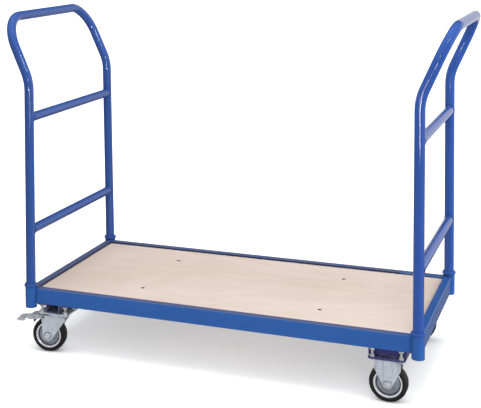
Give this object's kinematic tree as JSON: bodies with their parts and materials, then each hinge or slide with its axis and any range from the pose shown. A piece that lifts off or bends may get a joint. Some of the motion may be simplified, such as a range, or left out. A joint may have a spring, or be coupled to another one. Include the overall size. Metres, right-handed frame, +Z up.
{
  "type": "platform trolley",
  "caption": "Platform trolley: plywood deck in a welded blue tube frame, plug-in tubular push handles at both ends, braked swivel casters on one end and fixed casters on the other.",
  "frame": {"origin": "middle of the footprint, on the floor plane under the wheels", "axes": "+X along the deck towards the fixed-caster end, +Y across the deck, +Z up"},
  "size_m": [1.4046, 0.6418, 1.07],
  "materials": {
    "blue_paint": "glossy mid-blue powder coat",
    "navy_paint": "dark navy paint",
    "plywood": "pale birch plywood, satin",
    "dark_screw": "blackened steel",
    "tyre": "matt solid rubber",
    "brake_rubber": "matt rubber",
    "rim_zinc": "pressed steel, zinc plated",
    "galvanised": "pressed sheet steel, zinc plated",
    "zinc_fastener": "zinc plated",
    "bare_steel": "bright steel"
  },
  "bodies": {
    "root": {"caster_beam_left": "navy_paint", "caster_beam_right": "navy_paint", "caster_bolts": "zinc_fastener", "caster_nuts": "zinc_fastener", "cross_member_left": "blue_paint", "cross_member_right": "blue_paint", "deck_ledge_back": "blue_paint", "deck_ledge_front": "blue_paint", "deck_panel": "plywood", "deck_screws": "dark_screw", "end_rail_left": "blue_paint", "end_rail_right": "blue_paint", "fixed_axle_bolts": "zinc_fastener", "fixed_axle_nuts": "zinc_fastener", "fixed_axle_sleeves": "bare_steel", "fixed_back_bracket": "galvanised", "fixed_front_bracket": "galvanised", "side_rail_back": "blue_paint", "side_rail_front": "blue_paint", "socket_back_left": "blue_paint", "socket_back_right": "blue_paint", "socket_front_left": "blue_paint", "socket_front_right": "blue_paint", "swivel_back_plate": "galvanised", "swivel_front_plate": "galvanised", "swivel_king_pins": "bare_steel", "swivel_race_balls": "bare_steel"},
    "handle_left": {"handle_left_bar_lower": "blue_paint", "handle_left_bar_upper": "blue_paint", "handle_left_collars": "blue_paint", "handle_left_tube": "blue_paint"},
    "handle_right": {"handle_right_bar_lower": "blue_paint", "handle_right_bar_upper": "blue_paint", "handle_right_collars": "blue_paint", "handle_right_tube": "blue_paint"},
    "swivel_front": {"brake_front_pin": "zinc_fastener", "swivel_front_axle_bolt": "zinc_fastener", "swivel_front_axle_nut": "zinc_fastener", "swivel_front_fork": "galvanised", "swivel_front_sleeve": "bare_steel"},
    "swivel_back": {"brake_back_pin": "zinc_fastener", "swivel_back_axle_bolt": "zinc_fastener", "swivel_back_axle_nut": "zinc_fastener", "swivel_back_fork": "galvanised", "swivel_back_sleeve": "bare_steel"},
    "wheel_front_left": {"swivel_front_rim": "rim_zinc", "swivel_front_tyre": "tyre"},
    "wheel_back_left": {"swivel_back_rim": "rim_zinc", "swivel_back_tyre": "tyre"},
    "wheel_front_right": {"fixed_front_rim": "rim_zinc", "fixed_front_tyre": "tyre"},
    "wheel_back_right": {"fixed_back_rim": "rim_zinc", "fixed_back_tyre": "tyre"},
    "pedal_front": {"brake_front_pedal": "galvanised", "brake_front_shoe": "brake_rubber"},
    "pedal_back": {"brake_back_pedal": "galvanised", "brake_back_shoe": "brake_rubber"}
  },
  "joints": [
    {"name": "handle_left_lift", "type": "slide", "parent": "root", "child": "handle_left", "axis": [0, 0, 1], "range_m": [0, 0.08]},
    {"name": "handle_right_lift", "type": "slide", "parent": "root", "child": "handle_right", "axis": [0, 0, 1], "range_m": [0, 0.08]},
    {"name": "swivel_front_turn", "type": "hinge", "parent": "root", "child": "swivel_front", "pos_m": [-0.526, -0.26, 0.122], "axis": [0, 0, 1], "continuous": true},
    {"name": "wheel_front_left_roll", "type": "hinge", "parent": "swivel_front", "child": "wheel_front_left", "pos_m": [-0.55373, -0.2639, 0.054], "axis": [-0.1392, 0.9903, 0], "continuous": true},
    {"name": "brake_front_press", "type": "hinge", "parent": "swivel_front", "child": "pedal_front", "pos_m": [-0.56759, -0.26584, 0.1113], "axis": [0.1392, -0.9903, 0], "range_deg": [0, 9]},
    {"name": "wheel_front_right_roll", "type": "hinge", "parent": "root", "child": "wheel_front_right", "pos_m": [0.513, -0.26, 0.054], "axis": [0, 1, 0], "continuous": true},
    {"name": "swivel_back_turn", "type": "hinge", "parent": "root", "child": "swivel_back", "pos_m": [-0.526, 0.26, 0.122], "axis": [0, 0, 1], "continuous": true},
    {"name": "wheel_back_left_roll", "type": "hinge", "parent": "swivel_back", "child": "wheel_back_left", "pos_m": [-0.55373, 0.2639, 0.054], "axis": [0.1392, 0.9903, 0], "continuous": true},
    {"name": "brake_back_press", "type": "hinge", "parent": "swivel_back", "child": "pedal_back", "pos_m": [-0.56759, 0.26584, 0.1113], "axis": [-0.1392, -0.9903, 0], "range_deg": [0, 9]},
    {"name": "wheel_back_right_roll", "type": "hinge", "parent": "root", "child": "wheel_back_right", "pos_m": [0.513, 0.26, 0.054], "axis": [0, 1, 0], "continuous": true}
  ]
}
